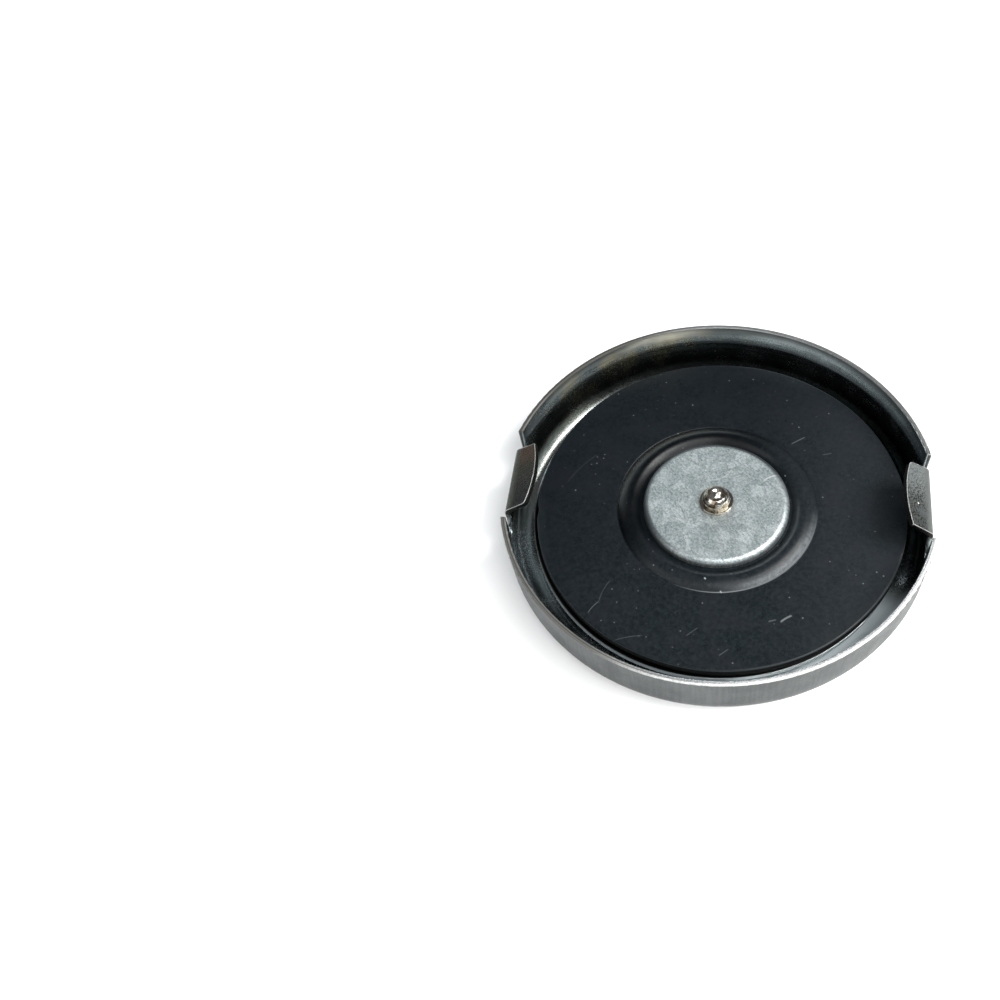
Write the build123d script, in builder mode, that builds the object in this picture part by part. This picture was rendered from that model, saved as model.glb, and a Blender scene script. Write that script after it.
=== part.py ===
from build123d import *
import os
from math import atan, cos, radians, sin

# Bayonet fuel filler cap for a 60 mm filler neck, lying on its back with its open side up.
# A pressed sheet shell with a dished centre and two bent tabs holds a rubber gasket on a backing
# plate. A rivet through the dish clamps both of them under a round steel disc.
# All sizes are millimetres. +Z points out of the open side, and the tabs lie on the X axis.

# ---- driving dimensions: shell ------------------------------------------------------------
sheet = 0.9                  # sheet thickness
rim_radius = 38.0            # outer radius at the open edge
skirt_height = 11.9          # outer face to the open edge
shoulder_radius = 4.5        # outer corner between face and skirt
skirt_foot_radius = 37.7     # outer radius where the shoulder meets the skirt, which flares
mark_height = 0.4            # raised marks on the outer face, which the cap rests on
face_z = mark_height         # level of the outer face
rim_z = face_z + skirt_height
rim_outer_round = 0.35       # outer corner of the cut edge
rim_inner_round = 0.2

dish_depth = 2.95            # pressed into the outer face at its centre
dish_floor_radius = 10.6
dish_mouth_radius = 15.7
dish_floor_bend = 1.0
dish_mouth_bend = 4.0

# ---- driving dimensions: bayonet tabs -----------------------------------------------------
tab_half_width = 6.7         # at the bend
tab_tip_half_width = 6.5     # at the tip, where the ends lean in
tab_round_corner = 2.0       # the +X tab's corner on the -Y side, and the opposite one
tab_sharp_corner = 0.9       # the +X tab's corner on the +Y side, and the opposite one
tab_root_x = 36.7            # flat outer face of the tab's root
tab_bend_radius = 1.2        # outer radius of the bend
tab_rise = 34.0              # slope of the tab above level, in degrees
tab_corner_x = 33.0          # tip corners, measured from the axis
tab_tip_x = 32.1             # middle of the bowed tip
tab_tip_lift = 1.6           # tip above the open edge
tab_root_height = 2.2        # over which the round wall turns into the flat tab
slot_width = 2.2             # gap beside each tab
wide_slot = 3.2              # the +Y slot of the -X tab, cut too wide
narrow_slot = 1.6            # the -Y slot of the +X tab, cut too narrow
slot_depth = 7.4             # open edge to the bottom of the slots

# ---- driving dimensions: backing plate, gasket, disc and rivet ------------------------------
plate_radius = 32.9
plate_sheet = 0.75
plate_step = 0.9             # its flat rim stands this much below its centre, nearer the floor
plate_centre_radius = 14.6   # underside, where the centre ends
plate_rim_radius = 16.4      # underside, where the flat rim starts
plate_bend = 0.5

gasket_radius = 32.8
gasket_thickness = 1.95
gasket_edge = 0.3            # bevel on the gasket's corners
hub_radius = 17.65           # foot of the raised ring round the disc
hub_crest_radius = 15.3
hub_crest = 1.0              # crest of the ring above the sealing plane
seat_radius = 13.3           # where the ring comes down to the disc's seat
seat_sink = 0.25             # the seat below the sealing plane, where the disc is clamped

disc_radius = 12.95
disc_thickness = 1.6
disc_edge_roll = 0.9         # rounded upper corner left by blanking
disc_burr = 0.15

shank_radius = 2.0
shank_clearance = 0.05
head_radius = 5.7            # low cone on the outer side
head_edge = 1.3
head_height = 2.6
head_tip_radius = 1.9
head_round = 0.25
collar_radius = 3.05         # upset ring under the dome on the inner side
collar_height = 0.45
collar_round = 0.15
dome_radius = 2.5
dome_side = 0.9              # from the disc to where the dome starts to close
dome_height = 2.9            # from the disc to the top of the dome

# ---- driving dimensions: marks on the outer face ------------------------------------------
bar_radius = 20.5
bar_width = 1.5
bar_span = 95.0
mark_bevel = 0.2             # bevel on the raised marks
mark_inset = 0.25            # the sunk side of a mark is this much narrower all round
chevron_stroke = 1.1
chevron_lean = 0.3           # tip ahead of the ends, as a share of the chevron's height
open_marks = 12              # chevrons that point the way the cap is turned to take it off
open_mark_radius = 26.0
open_mark_height = 3.8
open_mark_span = 144.0
close_marks = 7              # chevrons that point the way the cap is turned to shut it
close_mark_radius = 25.6
close_mark_height = 5.6
close_mark_span = 84.0
open_side = 115.5            # direction of each row from the +X tab, in degrees
close_side = open_side - 180

# ---- levels that follow from them ---------------------------------------------------------
dish_z = face_z + dish_depth             # outer face of the dish floor
plateau_z = dish_z + sheet               # inner face, which carries the backing plate
floor_z = face_z + sheet                 # inner face of the flat outer zone
plate_rim_z = plateau_z - plate_step     # underside of the plate's flat rim
seal_z = plate_rim_z + plate_sheet + gasket_thickness
seat_z = seal_z - seat_sink
disc_top_z = seat_z + disc_thickness
hole_radius = shank_radius + shank_clearance
flare = (rim_radius - skirt_foot_radius) / (skirt_height - shoulder_radius)
wall_across = sheet / cos(atan(flare))   # level thickness of the flared skirt
root_half_width = tab_half_width + slot_width / 2
lip_slope = radians(tab_rise)
bend_turn = radians(90.0 - tab_rise)     # from the upright root to the lip
bend_x = tab_root_x - tab_bend_radius    # axis of the bend
lip_x = bend_x + tab_bend_radius * cos(bend_turn)     # the flat lip starts here
lip_corner = (lip_x - tab_corner_x) / cos(lip_slope)  # measured along the lip
lip_tip = (lip_x - tab_tip_x) / cos(lip_slope)
lip_stock = lip_tip + sheet
tab_climb = tab_bend_radius * sin(bend_turn) + lip_tip * sin(lip_slope)
bend_z = rim_z + tab_tip_lift - tab_climb             # the tab starts to bend
slot_z = rim_z - slot_depth              # the round wall ends here between the slots
root_z = slot_z + tab_root_height        # the tab is flat from here to its bend
through = 2 * rim_radius                 # long enough to cut right through


# ---- tab: one bent tongue on the +X side, added to the shell twice --------------------------
def wall_radius(z):
    """Outer radius of the flared skirt at height z."""
    return rim_radius - flare * (rim_z - z)


def on_bend(radius, share):
    """Point of the bend's arc in the XZ plane, from its start (share 0) to its end (share 1)."""
    turned = share * bend_turn
    return (bend_x + radius * cos(turned), bend_z + radius * sin(turned))


with BuildPart() as tab:
    # round wall to flat root
    with BuildSketch(Plane.XY.offset(slot_z)):
        Circle(wall_radius(slot_z))
        Circle(wall_radius(slot_z) - wall_across, mode=Mode.SUBTRACT)
        with Locations((rim_radius, 0)):
            Rectangle(rim_radius, 2 * root_half_width, mode=Mode.INTERSECT)
    with BuildSketch(Plane.XY.offset(root_z)):
        with Locations((tab_root_x - sheet / 2, 0)):
            Rectangle(sheet, 2 * root_half_width)
    loft(ruled=True)
    # flat root, bend and lip, longer than the finished lip
    upper_end = Vector(*on_bend(tab_bend_radius, 1))
    lower_end = Vector(*on_bend(tab_bend_radius - sheet, 1))
    along_lip = Vector(-cos(lip_slope), sin(lip_slope)) * lip_stock
    with BuildSketch(Plane.XZ):
        with BuildLine():
            ThreePointArc(*[on_bend(tab_bend_radius, share) for share in (0, 0.5, 1)])
            Polyline(upper_end, upper_end + along_lip, lower_end + along_lip, lower_end)
            ThreePointArc(*[on_bend(tab_bend_radius - sheet, share) for share in (1, 0.5, 0)])
            Polyline(
                (tab_root_x - sheet, bend_z),
                (tab_root_x - sheet, root_z),
                (tab_root_x, root_z),
                (tab_root_x, bend_z),
            )
        make_face()
    extrude(amount=root_half_width, both=True)
    # lip cut to its bowed tip, square to the sheet
    lip_plane = Plane(
        origin=(upper_end.X, 0, upper_end.Y),
        x_dir=(-cos(lip_slope), 0, sin(lip_slope)),
        z_dir=(sin(lip_slope), 0, cos(lip_slope)),
    )
    with BuildSketch(lip_plane) as lip:
        with BuildLine():
            ThreePointArc(
                (lip_corner, -tab_tip_half_width), (lip_tip, 0), (lip_corner, tab_tip_half_width)
            )
            Polyline(
                (lip_corner, tab_tip_half_width),
                (0, tab_half_width),
                (0, root_half_width),
                (-slot_depth, root_half_width),
                (-slot_depth, -root_half_width),
                (0, -root_half_width),
                (0, -tab_half_width),
                (lip_corner, -tab_tip_half_width),
            )
        make_face()
        tip_corners = lip.vertices().group_by(Axis.X)[-1].sort_by(Axis.Y)
        fillet(tip_corners[0], tab_sharp_corner)
        fillet(tip_corners[-1], tab_round_corner)
    extrude(amount=slot_depth, both=True, mode=Mode.INTERSECT)


# ---- shell: one pressed sheet with its slots, tabs and raised marks -------------------------
def chevron_ring(count, span, radius, height, middle, way):
    """Chevrons on an arc of the XY plane; way is 1 anticlockwise from above, else -1."""
    step = span / count
    tip = height * chevron_lean
    outline = [
        (-height / 2, 0),
        (0, way * tip),
        (height / 2, 0),
        (height / 2, -way * chevron_stroke),
        (0, way * (tip - chevron_stroke)),
        (-height / 2, -way * chevron_stroke),
    ]
    if way < 0:
        outline.reverse()
    with PolarLocations(radius, count, middle - span / 2 + step / 2, span):
        Polygon(*outline, align=None)


def bar(middle):
    """Arc-shaped bar under a row of chevrons."""
    SlotArc(CenterArc((0, 0), bar_radius, middle - bar_span / 2, bar_span), bar_width)


with BuildSketch() as marks:
    chevron_ring(open_marks, open_mark_span, open_mark_radius, open_mark_height, open_side, -1)
    chevron_ring(close_marks, close_mark_span, close_mark_radius, close_mark_height, close_side, 1)
    bar(open_side)
    bar(close_side)

with BuildPart() as shell:
    with BuildSketch(Plane.XZ):
        with BuildLine():
            FilletPolyline(
                (hole_radius, dish_z),
                (dish_floor_radius, dish_z),
                (dish_mouth_radius, face_z),
                (wall_radius(face_z), face_z),
                (wall_radius(rim_z + sheet), rim_z + sheet),
                radius=[dish_floor_bend, dish_mouth_bend, shoulder_radius],
            )
            offset(amount=sheet, side=Side.LEFT)
        make_face()
    revolve(axis=Axis.Z)
    # skirt trimmed level
    split(bisect_by=Plane.XY.offset(rim_z), keep=Keep.BOTTOM)
    rim_edges = shell.edges().group_by(Axis.Z)[-1].sort_by(SortBy.RADIUS)
    fillet(rim_edges[-1], rim_outer_round)
    fillet(rim_edges[0], rim_inner_round)
    # gap in the skirt that each tab stands in
    with BuildSketch(Plane.YZ):
        with Locations((0, slot_z)):
            Rectangle(2 * root_half_width, skirt_height, align=(Align.CENTER, Align.MIN))
    extrude(amount=through, both=True, mode=Mode.SUBTRACT)
    with PolarLocations(0, 2):
        add(tab.part)
    # slots with round bottoms, which free the tabs' ends
    for x_side, y_side, width in (
        (1, 1, slot_width),
        (1, -1, narrow_slot),
        (-1, 1, wide_slot),
        (-1, -1, slot_width),
    ):
        with BuildSketch(Plane.YZ):
            with Locations((y_side * (tab_half_width + width / 2), slot_z + width / 2)):
                Circle(width / 2)
                Rectangle(width, skirt_height, align=(Align.CENTER, Align.MIN))
        extrude(amount=x_side * through, mode=Mode.SUBTRACT)
    # marks raised on the outer face and sunk in the inner face
    add(marks.sketch)
    extrude(amount=face_z + sheet / 2)
    mark_edges = shell.faces().filter_by(Axis.Z).group_by(Axis.Z)[0].edges()
    chamfer(mark_edges, mark_bevel)
    with BuildSketch(Plane.XY.offset(floor_z - mark_height)):
        add(marks.sketch)
        offset(amount=-mark_inset)
    extrude(amount=mark_height + sheet, mode=Mode.SUBTRACT)

# ---- backing plate: a pressed sheet that stands on the dish and steps down outside it --------
with BuildPart() as backing_plate:
    with BuildSketch(Plane.XZ):
        with BuildLine():
            FilletPolyline(
                (hole_radius, plateau_z),
                (plate_centre_radius, plateau_z),
                (plate_rim_radius, plate_rim_z),
                (plate_radius, plate_rim_z),
                radius=plate_bend,
            )
            offset(amount=plate_sheet, side=Side.LEFT)
        make_face()
    revolve(axis=Axis.Z)

# ---- gasket: moulded to the plate, with a raised ring round the seat of the disc -------------
with BuildPart() as gasket:
    # closed inside the plate's section, which is then taken away
    with BuildSketch(Plane.XZ):
        with BuildLine():
            Polyline(
                (seat_radius, seat_z),
                (hole_radius, seat_z),
                (hole_radius, plateau_z + plate_sheet / 2),
                (plate_centre_radius, plateau_z + plate_sheet / 2),
                (plate_rim_radius, plate_rim_z + plate_sheet / 2),
                (gasket_radius, plate_rim_z + plate_sheet / 2),
                (gasket_radius, seal_z),
                (hub_radius, seal_z),
            )
            Spline(
                (hub_radius, seal_z),
                (hub_crest_radius, seal_z + hub_crest),
                (seat_radius, seat_z),
                tangents=[(-1, 1.5), (-1, -0.8)],
            )
        make_face()
    revolve(axis=Axis.Z)
    add(backing_plate.part, mode=Mode.SUBTRACT)
    rounds = gasket.edges().filter_by(GeomType.CIRCLE).sort_by(SortBy.RADIUS)[-2:]
    chamfer(rounds, gasket_edge)

# ---- retaining disc: blanked, with a rounded upper corner ------------------------------------
with BuildPart() as retaining_disc:
    with BuildSketch(Plane.XY.offset(seat_z)):
        Circle(disc_radius)
        Circle(hole_radius, mode=Mode.SUBTRACT)
    extrude(amount=disc_thickness)
    disc_edges = retaining_disc.edges().filter_by(GeomType.CIRCLE).sort_by(SortBy.RADIUS)[-2:]
    fillet(disc_edges.sort_by(Axis.Z)[-1], disc_edge_roll)
    lower_edges = retaining_disc.edges().filter_by(GeomType.CIRCLE).group_by(Axis.Z)[0]
    chamfer(lower_edges.sort_by(SortBy.RADIUS)[-1], disc_burr)

# ---- rivet: cone head outside, shank, collar and dome inside ---------------------------------
with BuildPart() as rivet:
    with BuildSketch(Plane.XZ):
        with BuildLine():
            Polyline(
                (0, dish_z - head_height),
                (head_tip_radius, dish_z - head_height),
                (head_radius, dish_z - head_edge),
                (head_radius, dish_z),
                (shank_radius, dish_z),
                (shank_radius, disc_top_z),
                (collar_radius, disc_top_z),
                (collar_radius, disc_top_z + collar_height),
                (dome_radius, disc_top_z + collar_height),
                (dome_radius, disc_top_z + dome_side),
            )
            TangentArc(
                (0, disc_top_z + dome_height),
                (dome_radius, disc_top_z + dome_side),
                tangent=(1, 0),
            )
            Line((0, disc_top_z + dome_height), (0, dish_z - head_height))
        make_face()
    revolve(axis=Axis.Z)
    round_edges = rivet.edges().filter_by(GeomType.CIRCLE)
    fillet(round_edges.filter_by(lambda edge: edge.radius == head_radius), head_round)
    fillet(round_edges.filter_by(lambda edge: edge.radius == collar_radius), collar_round)

# ---- written pieces ---------------------------------------------------------------------------
os.makedirs("parts", exist_ok=True)
shell.part.label = "shell"
export_step(shell.part, "parts/shell.step")
backing_plate.part.label = "backing_plate"
export_step(backing_plate.part, "parts/backing_plate.step")
gasket.part.label = "gasket"
export_step(gasket.part, "parts/gasket.step")
retaining_disc.part.label = "retaining_disc"
export_step(retaining_disc.part, "parts/retaining_disc.step")
rivet.part.label = "rivet"
export_step(rivet.part, "parts/rivet.step")
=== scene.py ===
import math

import bmesh
import bpy
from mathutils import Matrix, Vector


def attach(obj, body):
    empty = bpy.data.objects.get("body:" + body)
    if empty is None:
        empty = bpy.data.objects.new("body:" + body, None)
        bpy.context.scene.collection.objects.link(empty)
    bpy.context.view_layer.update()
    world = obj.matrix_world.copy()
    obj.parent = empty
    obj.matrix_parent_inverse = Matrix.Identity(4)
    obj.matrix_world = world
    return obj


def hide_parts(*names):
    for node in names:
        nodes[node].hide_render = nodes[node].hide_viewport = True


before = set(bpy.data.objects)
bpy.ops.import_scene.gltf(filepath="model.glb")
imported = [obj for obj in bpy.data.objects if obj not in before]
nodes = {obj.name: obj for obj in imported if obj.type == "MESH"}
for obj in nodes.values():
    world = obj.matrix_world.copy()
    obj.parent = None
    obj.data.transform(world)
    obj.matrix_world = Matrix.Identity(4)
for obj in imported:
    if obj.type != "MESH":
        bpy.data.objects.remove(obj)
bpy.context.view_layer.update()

# Lengths are millimetres, apart from the studio's, which are metres. Angles about the cap's axis are
# radians from +X: the far side is at pi / 2, and the near side, towards the camera, at -pi / 2.
MM = 0.001

scene = bpy.context.scene


# ---- camera --------------------------------------------------------------------------------
CAMERA_PLACE = (3.789, -113.329, 173.235)
CAMERA_TURN = (34.5192, 4.0525, 6.4238)     # degrees
CAMERA_SENSOR = 36
CAMERA_LENS = 40.559
CAMERA_SHIFT = -0.1                         # puts the cap right of the middle

camera_data = bpy.data.cameras.new("camera")
camera_data.sensor_width = CAMERA_SENSOR
camera_data.lens = CAMERA_LENS
camera_data.shift_x = CAMERA_SHIFT
camera = bpy.data.objects.new("camera", camera_data)
camera.location = Vector(CAMERA_PLACE) * MM
camera.rotation_euler = [math.radians(angle) for angle in CAMERA_TURN]
scene.collection.objects.link(camera)
scene.camera = camera


# ---- floor and light -----------------------------------------------------------------------
FLOOR_HALF = 3
FLOOR_COLOUR = (0.92, 0.92, 0.915, 1)
FLOOR_ROUGHNESS = 0.7
WORLD_COLOUR = (0.93, 0.97, 1.0, 1)
WORLD_STRENGTH = 0.22
LIGHTS = (
    # name, place, width, height, watts, colour; each light faces the cap
    ("right_high", (0.46, 0.0, 0.5), 0.34, 0.34, 7.0, (1, 1, 1)),
    ("far_soft", (-0.32, 0.66, 0.27), 0.8, 0.3, 2.9, (0.90, 0.97, 1.0)),
    ("near_soft", (0.34, -0.4, 0.78), 0.6, 0.6, 8.0, (1, 1, 1)),
    ("left_fill", (-0.55, -0.6, 0.6), 1.0, 0.8, 5.0, (1, 1, 1)),
)

floor_mesh = bpy.data.meshes.new("floor")
corners = [(x * FLOOR_HALF, y * FLOOR_HALF, 0) for x, y in ((-1, -1), (1, -1), (1, 1), (-1, 1))]
floor_mesh.from_pydata(corners, [], [(0, 1, 2, 3)])
floor = bpy.data.objects.new("floor", floor_mesh)
scene.collection.objects.link(floor)
floor_material = bpy.data.materials.new("floor")
floor_material.use_nodes = True
floor_shader = floor_material.node_tree.nodes["Principled BSDF"]
floor_shader.inputs["Base Color"].default_value = FLOOR_COLOUR
floor_shader.inputs["Roughness"].default_value = FLOOR_ROUGHNESS
floor_mesh.materials.append(floor_material)

world = bpy.data.worlds.new("studio")
world.use_nodes = True
background = world.node_tree.nodes["Background"]
background.inputs["Color"].default_value = WORLD_COLOUR
background.inputs["Strength"].default_value = WORLD_STRENGTH
scene.world = world
scene.view_settings.view_transform = "Standard"

for name, place, width, height, watts, colour in LIGHTS:
    light_data = bpy.data.lights.new(name, "AREA")
    light_data.shape = "RECTANGLE"
    light_data.size = width
    light_data.size_y = height
    light_data.energy = watts
    light_data.color = colour
    light = bpy.data.objects.new(name, light_data)
    light.location = place
    light.rotation_euler = (-Vector(place)).to_track_quat("-Z", "Y").to_euler()
    scene.collection.objects.link(light)


# ---- shorthand for material nodes ------------------------------------------------------------
class Shader:
    """A Principled material and short calls that add nodes to it."""

    def __init__(self, name, metallic=0.0):
        self.material = bpy.data.materials.new(name)
        self.material.use_nodes = True
        self.tree = self.material.node_tree
        self.principled = self.tree.nodes["Principled BSDF"]
        self.set(Metallic=metallic)
        surface = self.add("ShaderNodeTexCoord")
        self.normal = surface.outputs["Normal"]
        self.place = self.vector("SCALE", surface.outputs["Object"], scale=1 / MM)
        self.x, self.y, self.z = self.parts(self.place)
        self.radius = self.hypot(self.x, self.y)
        self.angle = self.math("ARCTAN2", self.y, self.x)

    # nodes and sockets
    def add(self, kind, **settings):
        node = self.tree.nodes.new(kind)
        for key, value in settings.items():
            setattr(node, key, value)
        return node

    def feed(self, socket, value):
        if isinstance(value, bpy.types.NodeSocket):
            self.tree.links.new(value, socket)
        else:
            socket.default_value = value

    def set(self, **values):
        for key, value in values.items():
            self.feed(self.principled.inputs[key.replace("_", " ")], value)

    # sums
    def math(self, operation, *values, clamp=False):
        node = self.add("ShaderNodeMath", operation=operation, use_clamp=clamp)
        for socket, value in zip(node.inputs, values):
            self.feed(socket, value)
        return node.outputs[0]

    def plus(self, a, b):
        return self.math("ADD", a, b)

    def minus(self, a, b, clamp=False):
        return self.math("SUBTRACT", a, b, clamp=clamp)

    def times(self, first, *others):
        for other in others:
            first = self.math("MULTIPLY", first, other)
        return first

    def most(self, first, *others):
        for other in others:
            first = self.math("MAXIMUM", first, other)
        return first

    def absolute(self, value):
        return self.math("ABSOLUTE", value)

    def hypot(self, a, b):
        return self.math("SQRT", self.plus(self.times(a, a), self.times(b, b)))

    # vectors
    def vector(self, operation, a, b=None, scale=None):
        node = self.add("ShaderNodeVectorMath", operation=operation)
        self.feed(node.inputs[0], a)
        if b is not None:
            self.feed(node.inputs[1], b)
        if scale is not None:
            self.feed(node.inputs["Scale"], scale)
        return node.outputs["Value" if operation in ("DISTANCE", "DOT_PRODUCT") else "Vector"]

    def combine(self, x, y, z):
        node = self.add("ShaderNodeCombineXYZ")
        for socket, value in zip(node.inputs, (x, y, z)):
            self.feed(socket, value)
        return node.outputs[0]

    def parts(self, vector):
        node = self.add("ShaderNodeSeparateXYZ")
        self.feed(node.inputs[0], vector)
        return node.outputs

    def along(self, x, y):
        """How far the place lies along a direction of the XY plane."""
        return self.vector("DOT_PRODUCT", self.place, (x, y, 0.0))

    def distance(self, point):
        return self.vector("DISTANCE", self.place, point)

    # ramps and mixes
    def ramp(self, value, low, high, to_low=0.0, to_high=1.0, smooth=True):
        node = self.add("ShaderNodeMapRange", interpolation_type="SMOOTHSTEP" if smooth else "LINEAR")
        for socket, number in zip(node.inputs, (value, low, high, to_low, to_high)):
            self.feed(socket, number)
        return node.outputs[0]

    def window(self, value, low, high, soft):
        """1 between low and high, 0 outside, soft edges."""
        rise = self.ramp(value, low - soft, low + soft)
        return self.times(rise, self.ramp(value, high + soft, high - soft))

    def without(self, mask):
        """1 where the mask is 0, and 0 where it is 1."""
        return self.ramp(mask, 1.0, 0.0)

    def mix(self, factor, a, b):
        """Colour a where the factor is 0, and b where it is 1."""
        node = self.add("ShaderNodeMix", data_type="RGBA", blend_type="MIX")
        self.feed(node.inputs["Factor"], factor)
        for name, value in (("A", a), ("B", b)):
            socket = [s for s in node.inputs if s.name == name and s.type == "RGBA"][0]
            self.feed(socket, (*value, 1.0) if isinstance(value, tuple) else value)
        return [s for s in node.outputs if s.type == "RGBA"][0]

    # patterns
    def noise(self, at, scale=1.0, detail=2.0, roughness=0.5, distortion=0.0):
        node = self.add("ShaderNodeTexNoise")
        self.feed(node.inputs["Vector"], at)
        settings = {"Scale": scale, "Detail": detail, "Roughness": roughness, "Distortion": distortion}
        for key, value in settings.items():
            self.feed(node.inputs[key], value)
        return node.outputs[0]

    def cell_borders(self, at, scale):
        """Distance to the nearest border between cells."""
        node = self.add("ShaderNodeTexVoronoi", feature="DISTANCE_TO_EDGE")
        self.feed(node.inputs["Vector"], at)
        self.feed(node.inputs["Scale"], scale)
        return node.outputs["Distance"]

    def specks(self, scale, size, share):
        """Round specks: one in each chosen cell of the given scale, sized in cells."""
        node = self.add("ShaderNodeTexVoronoi", feature="F1")
        self.feed(node.inputs["Vector"], self.combine(self.x, self.y, 0.0))
        self.feed(node.inputs["Scale"], scale)
        chance = self.add("ShaderNodeSeparateColor")
        self.feed(chance.inputs[0], node.outputs["Color"])
        chosen = self.ramp(chance.outputs[0], 1 - share, 1.0, smooth=False)
        return self.times(self.ramp(node.outputs["Distance"], size, size * 0.5), chosen)

    def scratch(self, x0, y0, x1, y1, width, sag):
        """Thin line between two points of the XY plane, bowed sideways by sag, fading at its ends."""
        length = math.hypot(x1 - x0, y1 - y0)
        ux, uy = (x1 - x0) / length, (y1 - y0) / length
        middle = (x0 + x1) / 2 * ux + (y0 + y1) / 2 * uy
        share = self.math("DIVIDE", self.minus(self.along(ux, uy), middle), length / 2)
        square = self.times(share, share)
        off = self.minus(self.along(-uy, ux), -x0 * uy + y0 * ux)
        off = self.plus(off, self.times(self.minus(square, 1.0), sag))
        line = self.ramp(self.absolute(off), width, width * 0.3)
        return self.times(line, self.ramp(square, 1.0, 0.5))

    def scratches(self, rows):
        """The strongest of some scratches; each row is a scratch's values, then its strength."""
        return self.most(*(self.times(self.scratch(*row[:-1]), row[-1]) for row in rows))

    # normals
    def round_edges(self, radius):
        """Normal with the sharp edges rounded to a radius."""
        node = self.add("ShaderNodeBevel", samples=6)
        node.inputs["Radius"].default_value = radius * MM
        return node.outputs[0]

    def sharp_edges(self, radius):
        """1 along sharp edges, 0 elsewhere."""
        alike = self.vector("DOT_PRODUCT", self.round_edges(radius), self.normal)
        return self.ramp(alike, 0.97, 0.80)

    def bump(self, height, distance, strength=1.0, normal=None):
        """Bump from a height of 0 to 1, which stands for a distance."""
        node = self.add("ShaderNodeBump")
        self.feed(node.inputs["Height"], height)
        self.feed(node.inputs["Distance"], distance * MM)
        self.feed(node.inputs["Strength"], strength)
        if normal is not None:
            self.feed(node.inputs["Normal"], normal)
        return node.outputs[0]


# Some colours in the materials below stand for light and shade, not for the surface: highlights, the
# dark far side and the darker left. They are painted at fixed places on the part, so they stay there
# when the lights or the part move, where real gloss and shade would change.


# ---- shell -----------------------------------------------------------------------------------
RIM_Z = 12.3                            # open edge
SHOULDER_RADIUS, SHOULDER_Z = 33.2, 4.9     # centre of the rounded corner between face and skirt
SHEET_MIDDLE = (4.0, 4.2)               # distances from it between which inside turns to outside
SLOT_Y = 7.0                            # half of a tab's width and a little of its slots
TAB_OUT, TAB_UP = 0.559, 0.829          # normal of a tab's upper side, outwards and up
TAB_FOOT_X, TAB_FOOT_Z = 36.17, 11.15   # a point on that side
TAB_BEND_X = (35.0, 36.2)               # where a tab bends out of the skirt
CRACK_RADII = (37.42, 37.58)            # dark line along the left part of the cut rim
DOT_PLACE = (34.1, -1.68, 12.54)        # bright dot on the right tab
SMUDGE_PLACE = (34.7, -3.2, 12.1)       # smudge on the right tab
OLIVE_REFLECTION_ANGLES = (1.6, 2.6)               # painted olive reflections on the wall
FAR_CORNER_ANGLES = (0.0, 2.35)         # painted shade on the far part of the rounded corner
CRESCENT_ANGLES = (-1.45, -0.42)        # painted highlight on its near right part
BESIDE_SLOT_ANGLES = (-3.1, -2.55)      # painted shade beside the left tab's near slot
BAND_ANGLES = (0.5, 2.62)               # band under the rim, in painted highlight and shade
GLOW_ANGLES = (1.72, 2.08)              # its painted bright, warm stretch
FLARE_ANGLES = (0.3, 2.8)               # far wall, tipped by a bump that the shape doesn't have
NEAR_BLACK = (0.05, 0.055, 0.055)


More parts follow.
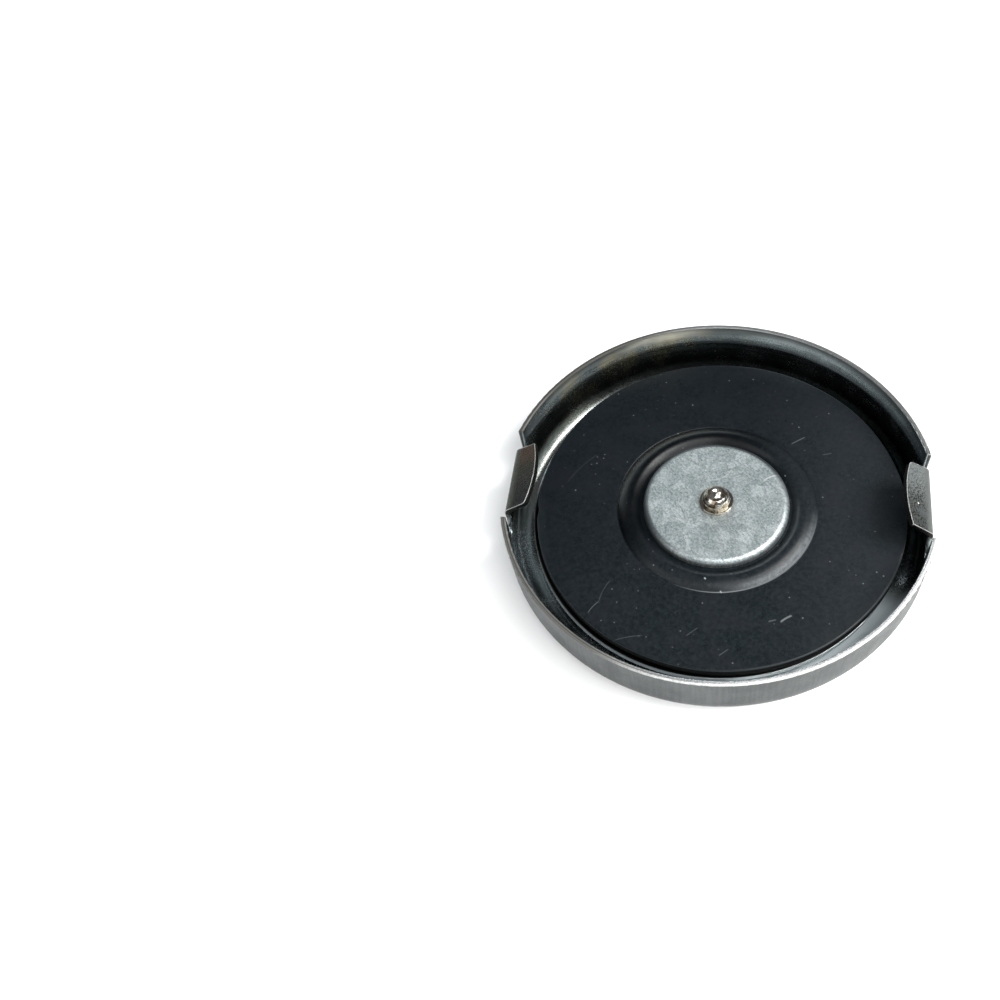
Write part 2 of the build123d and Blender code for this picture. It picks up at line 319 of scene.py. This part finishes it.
class Zinc(Shader):
    """Dull skirt, darker drawn wall with a band of painted highlight and shade under the rim, bright cut
    rim, scuffed tabs.
    """

    def __init__(self):
        super().__init__("zinc_plated_steel", metallic=1.0)
        facing = self.parts(self.normal)
        self.facing_up = facing[2]
        self.facing_out = self.times(facing[0], self.math("SIGN", self.x))
        self.add_patterns()
        self.add_masks()

    def add_patterns(self):
        self.streaks = self.noise(self.combine(self.x, self.y, self.times(self.z, 0.06)), 0.9, 3.0, 0.65)
        self.grain = self.noise(self.place, 3.5, 3.0, 0.65)
        self.patches = self.noise(self.place, 0.15, 3.0, 0.6, 0.4)
        turned = self.combine(self.times(self.angle, 38.0), 0.0, self.times(self.z, 0.05))
        self.ribs = self.noise(turned, 1.9, 1.0, 0.4)
        turned = self.combine(self.times(self.angle, 2.2), self.times(self.z, 1.3), 0.0)
        self.brushed = self.noise(turned, 1.0, 4.0, 0.65)
        turned = self.combine(self.times(self.angle, 9.0), 0.0, 0.0)
        self.ragged = self.noise(turned, 0.8, 3.0, 0.6)
        self.scuff = self.ramp(self.noise(self.place, 3.4, 2.0, 0.6), 0.44, 0.57)

    def add_masks(self):
        between_slots = self.window(self.y, -SLOT_Y, SLOT_Y, 0.1)
        self.tab = self.times(between_slots, self.ramp(self.z, 9.0, 10.0))
        self.left_tab = self.times(self.tab, self.ramp(self.x, 1.0, -1.0))

        # outer side of the sheet: the skirt, the roots of the tabs and the face that it lies on
        across = self.most(self.minus(self.radius, SHOULDER_RADIUS), 0.0)
        down = self.math("MINIMUM", self.minus(self.z, SHOULDER_Z), 0.0)
        tab_root = self.times(between_slots, self.ramp(self.facing_out, 0.6, 0.8),
                              self.ramp(self.radius, 30.0, 31.0))
        upward = self.plus(self.facing_up, self.ramp(self.radius, 25.0, 30.0, 0.0, 0.45))
        self.outer_face = self.times(self.ramp(upward, -0.15, -0.35), self.ramp(self.z, 6.5, 5.5))
        skirt = self.ramp(self.hypot(across, down), *SHEET_MIDDLE)
        self.outside = self.most(skirt, tab_root, self.outer_face)

        self.corner = self.ramp(self.z, 6.2, 3.4)
        self.crescent = self.window(self.angle, *CRESCENT_ANGLES, 0.12)
        self.rim = self.times(self.window(self.z, RIM_Z - 0.25, RIM_Z + 0.2, 0.1), self.without(self.tab))

        # band of painted highlight and shade under the rim, with a ragged lower border, deepest on the far
        # left
        reach = self.plus(self.z, self.ramp(self.ragged, 0.3, 0.7, -0.5, 0.5, False))
        border = self.ramp(self.angle, 0.6, 1.8, 10.4, 8.8)
        self.band = self.times(self.ramp(reach, border, RIM_Z), self.window(self.angle, *BAND_ANGLES, 0.15),
                               self.without(self.outside))

    def wall(self):
        """Drawn wall inside: cool grey with painted olive reflections in clouds on the far left, plain on
        the near side.
        """
        # painted reflection: olive clouds on the far left
        olive = self.times(self.ramp(self.patches, 0.42, 0.62), self.window(self.angle, *OLIVE_REFLECTION_ANGLES, 0.25))
        tint = self.mix(olive, (0.36, 0.42, 0.43), (0.50, 0.47, 0.34))
        dark = self.mix(0.45, tint, (0.06, 0.065, 0.065))
        tint = self.mix(self.ramp(self.brushed, 0.35, 0.62), dark, tint)
        return self.mix(self.ramp(self.y, 2.0, -8.0), tint, (0.27, 0.30, 0.30))

    def rounded_corner(self, tint):
        """Inside of the rounded corner in painted light and shade: pale near left, a bright crescent near
        right, dark far side.
        """
        # painted reflection: pale towards the near left
        near_left = self.mix(self.ramp(self.y, 4.0, -12.0), (0.20, 0.21, 0.195), (0.66, 0.75, 0.78))
        # painted highlight: the bright crescent near right
        bright = self.times(self.crescent, self.window(self.z, 1.1, 2.9, 0.25))
        near_right = self.mix(bright, (0.16, 0.18, 0.19), (0.88, 0.97, 1.0))
        colour = self.mix(self.ramp(self.x, -8.0, 10.0), near_left, near_right)
        # painted shade on the far part
        colour = self.mix(self.window(self.angle, *FAR_CORNER_ANGLES, 0.15), colour, NEAR_BLACK)
        tint = self.mix(self.corner, tint, colour)
        # painted shade beside the left tab's near slot
        beside_slot = self.times(self.window(self.angle, *BESIDE_SLOT_ANGLES, 0.12),
                                 self.ramp(self.z, 7.0, 9.5))
        return self.mix(beside_slot, tint, NEAR_BLACK)

    def band_highlight(self, tint):
        """Band under the rim in painted highlight and shade, with a bright warm stretch left of the far
        middle.
        """
        colour = self.mix(self.ramp(self.angle, 0.7, 1.7), (0.12, 0.13, 0.132), (0.22, 0.235, 0.232))
        colour = self.mix(self.ramp(self.angle, 1.9, 2.3), colour, (0.10, 0.11, 0.11))
        colour = self.mix(self.window(self.angle, *GLOW_ANGLES, 0.10), colour, (0.80, 0.78, 0.66))
        return self.mix(self.times(self.band, 0.85), tint, colour)

    def outer_side(self, tint):
        """Faintly ribbed skirt, darker near its foot in painted shade, and the brighter face that the cap
        lies on.
        """
        skirt = self.mix(self.ramp(self.ribs, 0.35, 0.65), (0.065, 0.073, 0.074), (0.082, 0.089, 0.088))
        # painted shade: darker near the foot
        skirt = self.mix(self.ramp(self.z, 5.6, 2.6, 0.0, 0.55), skirt, (0.030, 0.034, 0.035))
        skirt = self.mix(self.ramp(self.patches, 0.45, 0.65, 0.0, 0.3), skirt, NEAR_BLACK)
        face = self.mix(self.ramp(self.patches, 0.40, 0.60), (0.46, 0.455, 0.485), (0.42, 0.43, 0.415))
        face = self.mix(self.ramp(self.grain, 0.50, 0.72, 0.0, 0.6), face, (0.70, 0.70, 0.72))
        lower = self.most(self.outer_face, self.ramp(self.z, 1.5, 0.7))
        return self.mix(self.outside, tint, self.mix(lower, skirt, face))

    def tabs(self, tint):
        """Tabs in painted light and shade: right tab scuffed and paler at its far end, left tab dark with
        brown at its far end, partly tarnish and partly painted reflection.
        """
        # painted shade: both tabs darker towards their near ends, the left one nearly black
        right = self.mix(self.ramp(self.y, -2.0, 6.5), (0.012, 0.013, 0.011), (0.118, 0.130, 0.128))
        scuffed = self.times(self.scuff, self.ramp(self.y, -5.0, 4.0, 0.28, 0.85))
        right = self.mix(scuffed, right, (0.19, 0.21, 0.203))
        smudge = self.ramp(self.distance(SMUDGE_PLACE), 1.5, 0.2, 0.0, 0.6)
        right = self.mix(smudge, right, (0.085, 0.100, 0.102))
        brown_tarnish_and_reflection = self.mix(self.ramp(self.y, 1.0, 4.5), (0.010, 0.011, 0.005), (0.034, 0.017, 0.009))
        left = self.mix(self.ramp(self.y, -4.5, 2.5), (0.0, 0.0, 0.001), brown_tarnish_and_reflection)
        left = self.mix(self.times(self.scuff, 0.05), left, (0.15, 0.15, 0.14))
        # painted sheen: lighter grey along the bends
        bend = self.ramp(self.absolute(self.x), *TAB_BEND_X)
        tint = self.mix(self.tab, tint, self.mix(bend, right, (0.13, 0.14, 0.135)))
        tint = self.mix(self.left_tab, tint, self.mix(bend, left, (0.050, 0.052, 0.042)))
        # painted shade: dark cut ends and undersides
        upward = self.plus(self.times(self.facing_out, TAB_OUT), self.times(self.facing_up, TAB_UP))
        return self.mix(self.times(self.tab, self.ramp(upward, 0.45, 0.2)), tint, (0.012, 0.012, 0.012))

    def worn_and_highlit_edges(self, tint):
        """Bright sharp edges on the upper half, apart from those under the tabs: partly wear and partly
        painted highlight.
        """
        lift = self.plus(self.times(self.minus(self.absolute(self.x), TAB_FOOT_X), TAB_OUT),
                         self.times(self.minus(self.z, TAB_FOOT_Z), TAB_UP))
        under = self.times(self.tab, self.ramp(lift, -0.35, -0.5))
        worn_and_lit = self.minus(self.ramp(self.z, 5.0, 7.0), under, clamp=True)
        return self.mix(self.times(self.sharp_edges(0.3), worn_and_lit, 0.85), tint, (0.80, 0.81, 0.79))

    def cut_rim(self, tint):
        """Cut edge: bright on the near right, darker in painted shade on the far side and on the left, with
        a crack.
        """
        cut = self.mix(self.ramp(self.grain, 0.35, 0.65), (0.50, 0.51, 0.51), (0.78, 0.78, 0.77))
        # painted shade: darker towards the far side
        cut = self.mix(self.ramp(self.y, -12.0, 15.0, 0.0, 0.7), cut, (0.10, 0.10, 0.10))
        tint = self.mix(self.rim, tint, cut)
        # painted shade: darker on the left
        on_left = self.times(self.rim, self.ramp(self.x, -2.0, -20.0, 0.0, 0.88))
        tint = self.mix(on_left, tint, (0.10, 0.097, 0.085))
        crack = self.times(self.window(self.radius, *CRACK_RADII, 0.05),
                           self.ramp(self.x, 5.0, -15.0, 0.0, 0.8), self.rim)
        tint = self.mix(crack, tint, (0.05, 0.05, 0.05))
        dot = self.times(self.ramp(self.distance(DOT_PLACE), 0.22, 0.08), self.tab)
        return self.mix(dot, tint, (1.0, 1.0, 0.97))

    def build(self):
        tint = self.wall()
        for layer in (self.rounded_corner, self.band_highlight, self.outer_side, self.tabs, self.worn_and_highlit_edges,
                      self.cut_rim):
            tint = layer(tint)
        self.set(Base_Color=tint)

        # the painted crescent highlight is also made less metallic, so that it shows brighter
        near_right = self.times(self.crescent, self.ramp(self.x, 0.0, 10.0), self.corner)
        self.set(Metallic=self.minus(1.0, self.times(near_right, 0.62)))
        rough = self.plus(self.ramp(self.patches, 0.3, 0.7, 0.16, 0.24),
                          self.ramp(self.grain, 0.3, 0.7, 0.0, 0.08))
        matt = self.most(self.band, self.outside, self.tab, near_right)
        rough = self.plus(rough, self.times(matt, 0.22))
        self.set(Roughness=self.plus(rough, self.times(self.rim, self.ramp(self.x, -5.0, -20.0, 0.0, 0.35))))

        far_half = self.ramp(self.y, -8.0, 4.0)
        drawn = self.times(self.window(self.z, 4.5, 10.5, 1.0), far_half)
        normal = self.bump(self.streaks, 0.012, drawn, self.round_edges(0.25))
        grained = self.times(self.ramp(self.z, 5.0, 7.0), self.most(far_half, self.tab, self.outside))
        normal = self.bump(self.grain, 0.006, grained, normal)
        normal = self.bump(self.scuff, 0.05, self.times(self.tab, 0.8), normal)
        flare = self.times(self.ramp(self.z, 8.0, 12.6, 1.0, 0.0),
                           self.window(self.angle, *FLARE_ANGLES, 0.3), self.without(self.outside))
        self.set(Normal=self.bump(flare, 1.6, normal=normal))
        return self.material


# ---- backing plate -----------------------------------------------------------------------------
PLATE_SHINE_RADII = (32.6, 32.85)       # only the outer edge is bright; inside it the plate is near black in painted shade


def plate_steel():
    """Plated steel, bright at its edge and dark in painted shade in the gap under the gasket."""
    s = Shader("backing_plate_steel", metallic=1.0)
    grain = s.noise(s.place, 3.0, 2.0, 0.5)
    bright = s.mix(s.ramp(grain, 0.3, 0.7), (0.46, 0.49, 0.49), (0.56, 0.59, 0.59))
    s.set(Base_Color=s.mix(s.ramp(s.radius, *PLATE_SHINE_RADII), (0.012, 0.013, 0.014), bright))
    s.set(Roughness=0.3, Normal=s.round_edges(0.2))
    return s.material


# ---- gasket's rubber ---------------------------------------------------------------------------
RING_RADII = (13.6, 17.7)               # raised ring
RING_SHINE_RADII = (16.9, 17.75)        # painted shine on its outer slope
RING_FOOT_RADII = (17.64, 17.86)        # painted highlight line at the foot of that slope
RING_SHINE_ANGLES = (-1.25, -0.2)
RING_FOOT_ANGLES = (-1.7, -0.25)
GASKET_SCRATCHES = (
    # x0, y0, x1, y1, width, sag, strength
    (11.8, -22.7, 13.8, -21.2, 0.24, 0.12, 0.28),
    (9.8, -22.7, 11.2, -22.2, 0.16, 0.0, 0.14),
    (12.9, 14.5, 15.6, 16.4, 0.13, 0.0, 0.15),
    (18.6, 12.4, 20.4, 12.9, 0.12, 0.0, 0.10),
    (-17.1, -16.4, -18.8, -21.2, 0.10, -0.3, 0.08),
    (-18.6, -20.8, -20.4, -23.4, 0.12, -0.2, 0.14),
    (-15.6, -28.2, -10.6, -26.8, 0.10, 0.2, 0.09),
    (2.0, -29.6, 3.6, -28.2, 0.10, 0.0, 0.14),
    (-3.6, -26.4, -1.6, -24.6, 0.10, 0.0, 0.10),
    (-27.5, 3.0, -22.0, 10.5, 0.12, 0.5, 0.035),
    (1.6, -17.4, 1.95, -17.8, 0.2, 0.0, 0.5),
    (-1.2, -15.5, -0.9, -15.8, 0.2, 0.0, 0.6),
)


def rubber():
    """Blue-black rubber with faint mottling, dust, a few pale scratches and painted light and shade."""
    s = Shader("gasket_rubber")
    smudge = s.noise(s.place, 0.16, 4.0, 0.65, 0.5)
    mottle = s.noise(s.place, 1.3, 4.0, 0.7, 0.6)
    grain = s.noise(s.place, 4.0, 3.0, 0.6)
    base = s.mix(s.ramp(mottle, 0.36, 0.66), (0.0040, 0.0062, 0.0080), (0.0100, 0.0134, 0.0153))
    base = s.mix(s.ramp(smudge, 0.48, 0.62, 0.0, 0.4), base, (0.0098, 0.0106, 0.0138))

    # painted shade: darker to the far left, lighter to the right
    base = s.mix(s.ramp(s.along(-0.6, 0.8), -25.0, 25.0, 0.0, 0.6), base, (0.0020, 0.0034, 0.0050))
    base = s.mix(s.ramp(s.x, 5.0, 30.0, 0.0, 0.35), base, (0.020, 0.023, 0.026))

    # raised ring: painted highlight line at its foot, painted shade to the far left and painted shine on the
    # near right
    foot = s.times(s.window(s.radius, *RING_FOOT_RADII, 0.07), s.window(s.angle, *RING_FOOT_ANGLES, 0.35))
    base = s.mix(foot, base, (0.17, 0.18, 0.185))
    shade = s.times(s.window(s.radius, *RING_RADII, 0.2), s.ramp(s.along(-0.75, 0.66), -2.0, 8.0))
    base = s.mix(shade, base, (0.0004, 0.0010, 0.0016))
    shine = s.times(s.window(s.angle, *RING_SHINE_ANGLES, 0.3), s.window(s.radius, *RING_SHINE_RADII, 0.4),
                    s.ramp(mottle, 0.3, 0.7, 0.5, 1.0))
    base = s.mix(shine, base, (0.110, 0.121, 0.127))

    # dust, flecks and scratches
    dust = s.times(s.specks(0.9, 0.17, 0.35), s.ramp(smudge, 0.42, 0.6, 0.03, 0.3))
    flecks = s.times(s.specks(0.16, 0.032, 0.45), 0.55)
    base = s.mix(s.most(dust, flecks, s.scratches(GASKET_SCRATCHES)), base, (0.32, 0.35, 0.35))

    # painted shade on the black side, painted highlight along the upper edge
    outer = s.ramp(s.radius, 30.0, 31.0)
    side = s.times(s.ramp(s.z, 5.8, 5.55), outer)
    base = s.mix(side, base, (0.0008, 0.001, 0.001))
    edge_highlight = s.times(s.window(s.z, 5.8, 5.97, 0.05), outer, 0.6)
    s.set(Base_Color=s.mix(edge_highlight, base, (0.05, 0.056, 0.058)))

    rough = s.plus(s.ramp(smudge, 0.35, 0.65, 0.25, 0.34), s.ramp(grain, 0.3, 0.7, 0.0, 0.08))
    s.set(Roughness=s.plus(rough, s.times(side, 0.4)), Normal=s.bump(grain, 0.006))
    s.principled.inputs["Specular IOR Level"].default_value = 0.16
    return s.material


# ---- retaining disc ----------------------------------------------------------------------------
DISC_ROLL_RADII = (11.7, 12.3)          # rolled edge, darker in painted shade
DISC_SLOPE_RADII = (11.8, 12.95)        # where its normal tips outwards
DISC_SLOPE_DROP = 0.16
RIVET_RING_RADII = (4.0, 3.0)           # painted shade: dark ring round the rivet
DISC_PALE_SCRATCHES = (
    # x0, y0, x1, y1, width, sag, strength
    (8.0, 4.7, 11.4, 6.4, 0.22, 0.5, 0.8),
    (-1.6, 4.6, 1.6, 5.9, 0.16, -0.4, 0.5),
    (1.3, 5.4, 2.5, 7.2, 0.16, 0.0, 0.4),
    (-4.4, -5.4, -8.2, -1.0, 0.12, 0.6, 0.3),
)
DISC_DARK_SCRATCHES = (
    (-6.6, -1.0, -5.2, -4.6, 0.16, 0.3, 0.6),
    (-2.0, -2.6, -6.5, -4.0, 0.12, 0.4, 0.36),
    (2.0, -3.0, 6.0, -6.6, 0.12, 0.3, 0.36),
)


def disc_steel():
    """Clouded plating with fine grain, wiped in one direction, hair-like dark lines and scratches."""
    s = Shader("disc_steel", metallic=1.0)
    cloud = s.noise(s.place, 0.30, 4.0, 0.6, 0.8)
    grain = s.noise(s.place, 2.3, 4.0, 0.75, 0.3)
    fine = s.noise(s.place, 5.0, 2.0, 0.5)
    wiped = s.combine(s.times(s.along(0.77, 0.64), 4.5), s.times(s.along(-0.64, 0.77), 0.7), 0.0)
    wiped = s.noise(wiped, 1.0, 3.0, 0.6)
    tone = s.plus(s.times(s.ramp(cloud, 0.4, 0.6), 0.38), s.times(s.ramp(grain, 0.4, 0.6), 0.62))
    tone = s.plus(s.times(tone, 0.75), s.times(s.ramp(wiped, 0.35, 0.65), 0.25))
    colour = s.mix(tone, (0.18, 0.235, 0.24), (0.88, 0.93, 0.93))

    # the hairs are borders of large cells, bent by the noise
    bent = s.vector("ADD", s.place, s.combine(s.times(grain, 2.5), s.times(cloud, 5.0), 0.0))
    hairs = s.times(s.ramp(s.cell_borders(bent, 0.32), 0.05, 0.0), s.ramp(cloud, 0.4, 0.55, 0.0, 0.6))
    colour = s.mix(hairs, colour, (0.16, 0.18, 0.19))
    colour = s.mix(s.scratches(DISC_PALE_SCRATCHES), colour, (0.92, 0.94, 0.93))
    colour = s.mix(s.scratches(DISC_DARK_SCRATCHES), colour, (0.14, 0.16, 0.17))

    # rolled edge, with painted shade that is darkest to the far left
    rolled = s.ramp(s.radius, *DISC_ROLL_RADII)
    shade = s.times(rolled, s.ramp(s.along(-0.62, 0.78), -9.0, 4.0, 0.45, 0.95))
    colour = s.mix(shade, colour, (0.085, 0.095, 0.10))
    # painted shade: dark ring round the rivet
    colour = s.mix(s.ramp(s.radius, *RIVET_RING_RADII, 0.0, 0.35), colour, (0.25, 0.27, 0.27))
    s.set(Base_Color=colour, Roughness=s.plus(s.ramp(grain, 0.3, 0.7, 0.48, 0.36), s.times(rolled, 0.1)))
    normal = s.bump(fine, 0.02, normal=s.bump(grain, 0.05))
    slope = s.ramp(s.radius, *DISC_SLOPE_RADII, 1.0, 0.0)
    s.set(Normal=s.bump(slope, DISC_SLOPE_DROP, normal=normal))
    return s.material


# ---- rivet -------------------------------------------------------------------------------------
COLLAR_Z = (8.5, 8.0)                   # painted shade: duller collar under the dome
DIMPLE_RADII = (0.1, 1.6)
DIMPLE_Z = (8.6, 9.2)
DIMPLE_DEPTH = 1.3


def rivet_steel():
    """Polished nickel with painted brownish reflections, dimpled where its end was upset."""
    s = Shader("rivet_steel", metallic=1.0)
    dents = s.noise(s.place, 0.8, 2.0, 0.5)
    brown_reflection = s.noise(s.place, 0.55, 3.0, 0.6, 0.5)
    # painted reflection: brownish patches
    colour = s.mix(s.ramp(brown_reflection, 0.42, 0.58), (0.20, 0.155, 0.11), (0.56, 0.53, 0.47))
    # painted shade on the collar
    s.set(Base_Color=s.mix(s.ramp(s.z, *COLLAR_Z), colour, (0.27, 0.25, 0.21)))
    s.set(Roughness=s.ramp(dents, 0.3, 0.7, 0.1, 0.2))
    dimple = s.times(s.ramp(s.radius, *DIMPLE_RADII, 0.0, 1.0, False), s.ramp(s.z, *DIMPLE_Z))
    s.set(Normal=s.bump(dents, 0.1, normal=s.bump(dimple, DIMPLE_DEPTH)))
    return s.material


# ---- gasket: fine mesh on the CAD's profile, with the slight waviness of clamped rubber --------
GASKET_RADIUS = 32.8
GASKET_FOOT_Z = 4.1     # on the backing plate's rim
GASKET_CORE_Z = 5.0     # on the backing plate's centre
PLATE_STEP_RADIUS = 14.78
PLATE_STEP_RUN = 1.8
SEAL_Z = 6.05           # flat face that the neck presses on
HUB_RADIUS = 17.65      # foot of the raised ring
HUB_CREST_RADIUS = 15.3
HUB_CREST_Z = 7.05
HUB_FOOT_DIP = 0.12     # the ring's outer slope ends this much below the flat face
SEAT_RADIUS = 13.3
SEAT_Z = 5.8            # under the retaining disc
SEAT_FLAT = 0.4         # flat strip of the seat beside the ring
HOLE_RADIUS = 2.05
EDGE_ROUND = 0.35
INNER_STEPS, OUTER_STEPS, FLAT_STEPS, ROUND_STEPS = 12, 14, 14, 5
TURNS = 432             # points round the axis


def gasket_profile():
    """(radius, height) points from the hole over the top to the underside."""
    points = [(HOLE_RADIUS, GASKET_CORE_Z), (HOLE_RADIUS, SEAT_Z), (SEAT_RADIUS - SEAT_FLAT, SEAT_Z)]
    for i in range(INNER_STEPS + 1):
        t = i / INNER_STEPS
        points.append((SEAT_RADIUS + (HUB_CREST_RADIUS - SEAT_RADIUS) * t,
                       SEAT_Z + (HUB_CREST_Z - SEAT_Z) * math.sin(t * math.pi / 2) ** 1.1))
    hub_foot_z = SEAL_Z - HUB_FOOT_DIP
    for i in range(1, OUTER_STEPS + 1):
        t = i / OUTER_STEPS
        points.append((HUB_CREST_RADIUS + (HUB_RADIUS - HUB_CREST_RADIUS) * t,
                       hub_foot_z + (HUB_CREST_Z - hub_foot_z) * math.cos(t * math.pi / 2) ** 0.8))
    flat_start, flat_end = HUB_RADIUS + 0.2, GASKET_RADIUS - EDGE_ROUND
    points += [(HUB_RADIUS + 0.08, SEAL_Z - 0.05), (flat_start, SEAL_Z)]
    for i in range(1, FLAT_STEPS + 1):
        points.append((flat_start + (flat_end - flat_start) * i / FLAT_STEPS, SEAL_Z))
    step = 90 / ROUND_STEPS
    rounded = [(SEAL_Z - EDGE_ROUND, 90 - step * i) for i in range(1, ROUND_STEPS + 1)]
    rounded += [(GASKET_FOOT_Z + EDGE_ROUND, -step * i) for i in range(ROUND_STEPS + 1)]
    for centre_z, degrees in rounded:
        a = math.radians(degrees)
        points.append((flat_end + EDGE_ROUND * math.cos(a), centre_z + EDGE_ROUND * math.sin(a)))
    return points + [(PLATE_STEP_RADIUS + PLATE_STEP_RUN, GASKET_FOOT_Z), (PLATE_STEP_RADIUS, GASKET_CORE_Z)]


def rubber_waves(radius, a, height):
    """New radius and height of a point: the rim sits a little to the far right, with uneven edges."""
    out = max(0.0, (radius - HUB_RADIUS) / (GASKET_RADIUS - HUB_RADIUS))
    pull = 0.55 * math.cos(a) + 0.45 * math.sin(a) + 0.05 * math.sin(5 * a + 2.0) + 0.03 * math.sin(11 * a)
    pull -= 0.3 * math.exp(-((a - 2.6) / 0.4) ** 2)         # flatter on the far left
    pull -= 0.25 * math.exp(-((a - 3.23) / 0.035) ** 2)     # nick beside the left tab
    lift = 0.06 * math.sin(3 * a + 1.0) * out ** 2
    on_ring = SEAT_RADIUS < radius < HUB_RADIUS and height > SEAL_Z
    crest = 0.06 * math.sin(2 * a + 1.2) if on_ring else 0.0
    return radius + pull * out ** 3, height + lift + crest


def revolved(name, profile, count, shift):
    """Closed mesh of a profile turned about the Z axis; shift(radius, angle, height) moves each point."""
    mesh = bmesh.new()
    rings = []
    for k in range(count):
        a = 2 * math.pi * k / count
        ring = []
        for radius, height in profile:
            r, z = shift(radius, a, height)
            ring.append(mesh.verts.new((r * math.cos(a) * MM, r * math.sin(a) * MM, z * MM)))
        rings.append(ring)
    for one, two in zip(rings, rings[1:] + rings[:1]):
        for i in range(len(profile)):
            j = (i + 1) % len(profile)
            mesh.faces.new((one[i], two[i], two[j], one[j]))
    bmesh.ops.recalc_face_normals(mesh, faces=mesh.faces)
    for face in mesh.faces:
        face.smooth = True
    data = bpy.data.meshes.new(name)
    mesh.to_mesh(data)
    mesh.free()
    piece = bpy.data.objects.new(name, data)
    scene.collection.objects.link(piece)
    return piece


gasket_skin = revolved("gasket_skin", gasket_profile(), TURNS, rubber_waves)
gasket_skin.data.materials.append(rubber())
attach(gasket_skin, "root")
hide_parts("gasket")

materials = {
    "shell": Zinc().build(),
    "backing_plate": plate_steel(),
    "retaining_disc": disc_steel(),
    "rivet": rivet_steel(),
}
for name, material in materials.items():
    nodes[name].data.materials.clear()
    nodes[name].data.materials.append(material)
